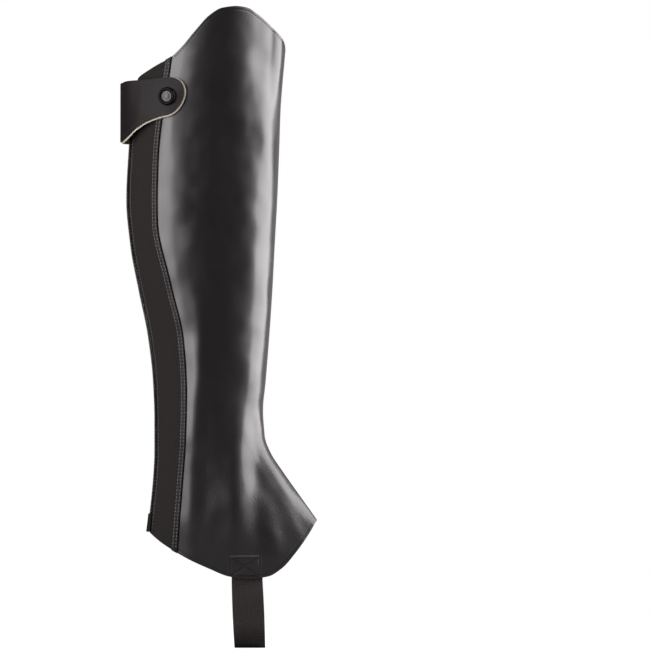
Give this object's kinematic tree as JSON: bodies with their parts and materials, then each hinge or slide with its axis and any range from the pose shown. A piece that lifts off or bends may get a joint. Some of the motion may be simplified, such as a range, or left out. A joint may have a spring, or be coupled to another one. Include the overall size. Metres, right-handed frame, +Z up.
{
  "type": "tall leather half chap for a right leg",
  "caption": "Tall half chap: a glossy leather tube for the lower leg with a high outer rise, elastic gore, back zip, snap tab and a strap that passes under the boot.",
  "frame": {"origin": "on the axis of the leg at the widest part of the calf, where the leg that wears it carries it", "axes": "+Z up the leg, +X to the wearer's front, -Y to the outer side of the right leg"},
  "size_m": [0.1733, 0.104, 0.5639],
  "materials": {
    "black_leather": "smooth black leather with a soft gloss",
    "tab_leather": "matt black leather with a raw pale edge",
    "strip_leather": "dull black stitched strip",
    "gore_elastic": "dull black ribbed elastic",
    "strap_elastic": "dull black woven elastic",
    "zip_tape": "black woven tape and coil teeth",
    "tan_lining": "matt tan pigskin",
    "beige_backing": "matt pale beige suede",
    "snap_metal": "dark gunmetal with a plain recessed face",
    "zip_metal": "dark gunmetal"
  },
  "bodies": {
    "chap": {"shin_leather": "black_leather", "vamp_inner_leather": "black_leather", "gore_elastic": "gore_elastic", "gore_seam_strip": "strip_leather", "zip_tape_outer": "zip_tape", "zip_tape_inner": "zip_tape", "lining": "tan_lining", "foot_strap": "strap_elastic", "zip_end_guard": "strip_leather", "snap_tab_backing": "beige_backing", "snap_tab_leather": "tab_leather", "snap_cap": "snap_metal", "snap_stud": "snap_metal", "zip_slider": "zip_metal"},
    "pull": {"zip_pull": "zip_metal"}
  },
  "joints": [
    {"name": "pull_swing", "type": "hinge", "parent": "chap", "child": "pull", "pos_m": [-0.06346, 0, 0.09445], "axis": [0, 1, 0], "range_deg": [0, 10]}
  ]
}
